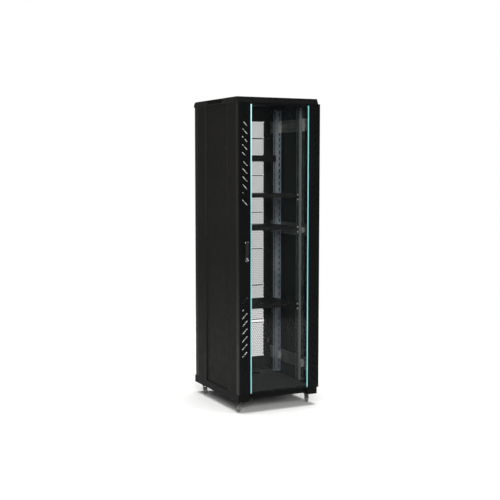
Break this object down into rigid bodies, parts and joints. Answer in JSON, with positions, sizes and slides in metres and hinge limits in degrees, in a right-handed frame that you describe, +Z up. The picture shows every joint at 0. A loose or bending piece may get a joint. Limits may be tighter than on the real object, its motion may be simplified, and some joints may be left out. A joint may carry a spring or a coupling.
{
  "type": "network server rack cabinet",
  "caption": "Tall 19-inch rack cabinet on swivel casters, with a slotted glass front door, vented rear door, lift-off side panels, adjustable rails, shelves and roof fans.",
  "frame": {"origin": "on the floor, under the middle of the outer box", "axes": "+Z up along the height, -Y towards someone who faces the front door, +X to their right, where the front door is hinged"},
  "size_m": [0.6, 0.7564, 2.085],
  "materials": {
    "black_powder_coat": "fine-textured satin powder coat",
    "door_powder_coat": "fine-textured satin powder coat",
    "rail_zinc": "blue-passivated zinc plate",
    "bright_zinc": "bright zinc plate",
    "door_glass": "clear toughened glass",
    "teal_trim": "glossy teal strip",
    "black_plastic": "moulded",
    "lock_chrome": "plated",
    "caster_tread": "grey-brown tread"
  },
  "bodies": {
    "cabinet": {"base_frame": "black_powder_coat", "floor_panel": "black_powder_coat", "top_frame": "black_powder_coat", "roof_panel": "black_powder_coat", "corner_post_front_left": "black_powder_coat", "corner_post_front_right": "black_powder_coat", "corner_post_rear_left": "black_powder_coat", "corner_post_rear_right": "black_powder_coat", "depth_strut_low_left": "bright_zinc", "depth_strut_low_right": "bright_zinc", "depth_strut_middle_left": "bright_zinc", "depth_strut_middle_right": "bright_zinc", "depth_strut_top_left": "bright_zinc", "depth_strut_top_right": "bright_zinc", "rail_front_left": "rail_zinc", "rail_front_right": "rail_zinc", "rail_rear_left": "rail_zinc", "rail_rear_right": "rail_zinc", "shelf_lower": "black_powder_coat", "shelf_middle": "black_powder_coat", "shelf_upper": "black_powder_coat", "power_strip": "black_powder_coat", "hinge_front_bottom": "bright_zinc", "hinge_front_top": "bright_zinc", "hinge_rear_bottom": "bright_zinc", "hinge_rear_top": "bright_zinc", "fan_housing": "black_plastic", "caster_plate_front_left": "bright_zinc", "caster_plate_front_right": "bright_zinc", "caster_plate_rear_left": "bright_zinc", "caster_plate_rear_right": "bright_zinc"},
    "front_door": {"front_door_frame": "door_powder_coat", "front_glass": "door_glass", "glass_trim_left": "teal_trim", "glass_trim_right": "teal_trim", "handle_base": "black_plastic"},
    "handle_spindle": {"handle_spindle": "lock_chrome"},
    "handle_lever": {"handle_lever": "black_plastic"},
    "handle_lock": {"handle_lock": "lock_chrome"},
    "rear_door": {"rear_door": "black_powder_coat"},
    "rear_lock": {"rear_lock": "lock_chrome"},
    "power_switch": {"power_switch": "black_plastic"},
    "fan_rotor_left": {"fan_rotor_left": "black_plastic"},
    "fan_rotor_right": {"fan_rotor_right": "black_plastic"},
    "side_panel_left": {"side_panel_left": "black_powder_coat"},
    "side_lock_left": {"side_lock_left": "lock_chrome"},
    "side_latch_front_left": {"side_latch_front_left": "black_plastic"},
    "side_latch_rear_left": {"side_latch_rear_left": "black_plastic"},
    "side_panel_right": {"side_panel_right": "black_powder_coat"},
    "side_lock_right": {"side_lock_right": "lock_chrome"},
    "side_latch_front_right": {"side_latch_front_right": "black_plastic"},
    "side_latch_rear_right": {"side_latch_rear_right": "black_plastic"},
    "caster_fork_front_left": {"caster_fork_front_left": "bright_zinc"},
    "caster_wheel_front_left": {"caster_wheel_front_left": "caster_tread"},
    "caster_fork_front_right": {"caster_fork_front_right": "bright_zinc"},
    "caster_wheel_front_right": {"caster_wheel_front_right": "caster_tread"},
    "caster_fork_rear_left": {"caster_fork_rear_left": "bright_zinc"},
    "caster_wheel_rear_left": {"caster_wheel_rear_left": "caster_tread"},
    "caster_fork_rear_right": {"caster_fork_rear_right": "bright_zinc"},
    "caster_wheel_rear_right": {"caster_wheel_rear_right": "caster_tread"}
  },
  "joints": [
    {"name": "front_door_hinge", "type": "hinge", "parent": "cabinet", "child": "front_door", "pos_m": [0.295, -0.3538, 1], "axis": [0, 0, 1], "range_deg": [0, 120]},
    {"name": "handle_turn", "type": "hinge", "parent": "front_door", "child": "handle_spindle", "pos_m": [-0.25, -0.3678, 1.13], "axis": [0, -1, 0], "range_deg": [0, 90]},
    {"name": "lever_lift", "type": "hinge", "parent": "handle_spindle", "child": "handle_lever", "pos_m": [-0.25, -0.3742, 1.13], "axis": [-1, 0, 0], "range_deg": [0, 25]},
    {"name": "handle_lock_turn", "type": "hinge", "parent": "front_door", "child": "handle_lock", "pos_m": [-0.25, -0.3678, 1.031], "axis": [0, -1, 0], "range_deg": [0, 90]},
    {"name": "rear_door_hinge", "type": "hinge", "parent": "cabinet", "child": "rear_door", "pos_m": [0.295, 0.3532, 1], "axis": [0, 0, -1], "range_deg": [0, 120]},
    {"name": "rear_lock_turn", "type": "hinge", "parent": "rear_door", "child": "rear_lock", "pos_m": [-0.27, 0.3612, 1.13], "axis": [0, 1, 0], "range_deg": [0, 90]},
    {"name": "side_panel_left_lift_off", "type": "slide", "parent": "cabinet", "child": "side_panel_left", "axis": [-1, 0, 0], "range_m": [0, 0.25]},
    {"name": "side_lock_left_turn", "type": "hinge", "parent": "side_panel_left", "child": "side_lock_left", "pos_m": [-0.293, 0.0032, 1.992], "axis": [-1, 0, 0], "range_deg": [0, 90]},
    {"name": "side_latch_front_left_slide", "type": "slide", "parent": "side_panel_left", "child": "side_latch_front_left", "axis": [0, 0, -1], "range_m": [0, 0.008]},
    {"name": "side_latch_rear_left_slide", "type": "slide", "parent": "side_panel_left", "child": "side_latch_rear_left", "axis": [0, 0, -1], "range_m": [0, 0.008]},
    {"name": "side_panel_right_lift_off", "type": "slide", "parent": "cabinet", "child": "side_panel_right", "axis": [1, 0, 0], "range_m": [0, 0.25]},
    {"name": "side_lock_right_turn", "type": "hinge", "parent": "side_panel_right", "child": "side_lock_right", "pos_m": [0.293, 0.0032, 1.992], "axis": [1, 0, 0], "range_deg": [0, 90]},
    {"name": "side_latch_front_right_slide", "type": "slide", "parent": "side_panel_right", "child": "side_latch_front_right", "axis": [0, 0, -1], "range_m": [0, 0.008]},
    {"name": "side_latch_rear_right_slide", "type": "slide", "parent": "side_panel_right", "child": "side_latch_rear_right", "axis": [0, 0, -1], "range_m": [0, 0.008]},
    {"name": "power_switch_rock", "type": "hinge", "parent": "cabinet", "child": "power_switch", "pos_m": [0.19, 0.1537, 1.68952], "axis": [1, 0, 0], "range_deg": [-8, 8]},
    {"name": "fan_left_spin", "type": "hinge", "parent": "cabinet", "child": "fan_rotor_left", "pos_m": [-0.075, 0.0182, 2.065], "axis": [0, 0, 1], "continuous": true},
    {"name": "fan_right_spin", "type": "hinge", "parent": "cabinet", "child": "fan_rotor_right", "pos_m": [0.075, 0.0182, 2.065], "axis": [0, 0, 1], "continuous": true},
    {"name": "caster_front_left_swivel", "type": "hinge", "parent": "cabinet", "child": "caster_fork_front_left", "pos_m": [-0.258, -0.2698, 0.06], "axis": [0, 0, 1], "continuous": true},
    {"name": "caster_front_left_roll", "type": "hinge", "parent": "caster_fork_front_left", "child": "caster_wheel_front_left", "pos_m": [-0.27406, -0.29274, 0.025], "axis": [0.8192, -0.5736, 0], "continuous": true},
    {"name": "caster_front_right_swivel", "type": "hinge", "parent": "cabinet", "child": "caster_fork_front_right", "pos_m": [0.258, -0.2698, 0.06], "axis": [0, 0, 1], "continuous": true},
    {"name": "caster_front_right_roll", "type": "hinge", "parent": "caster_fork_front_right", "child": "caster_wheel_front_right", "pos_m": [0.27485, -0.24744, 0.025], "axis": [-0.7986, 0.6018, 0], "continuous": true},
    {"name": "caster_rear_left_swivel", "type": "hinge", "parent": "cabinet", "child": "caster_fork_rear_left", "pos_m": [-0.258, 0.3062, 0.06], "axis": [0, 0, 1], "continuous": true},
    {"name": "caster_rear_left_roll", "type": "hinge", "parent": "caster_fork_rear_left", "child": "caster_wheel_rear_left", "pos_m": [-0.26382, 0.27881, 0.025], "axis": [0.9781, -0.2079, 0], "continuous": true},
    {"name": "caster_rear_right_swivel", "type": "hinge", "parent": "cabinet", "child": "caster_fork_rear_right", "pos_m": [0.258, 0.3062, 0.06], "axis": [0, 0, 1], "continuous": true},
    {"name": "caster_rear_right_roll", "type": "hinge", "parent": "caster_fork_rear_right", "child": "caster_wheel_rear_right", "pos_m": [0.24661, 0.28062, 0.025], "axis": [0.9135, -0.4067, 0], "continuous": true}
  ]
}
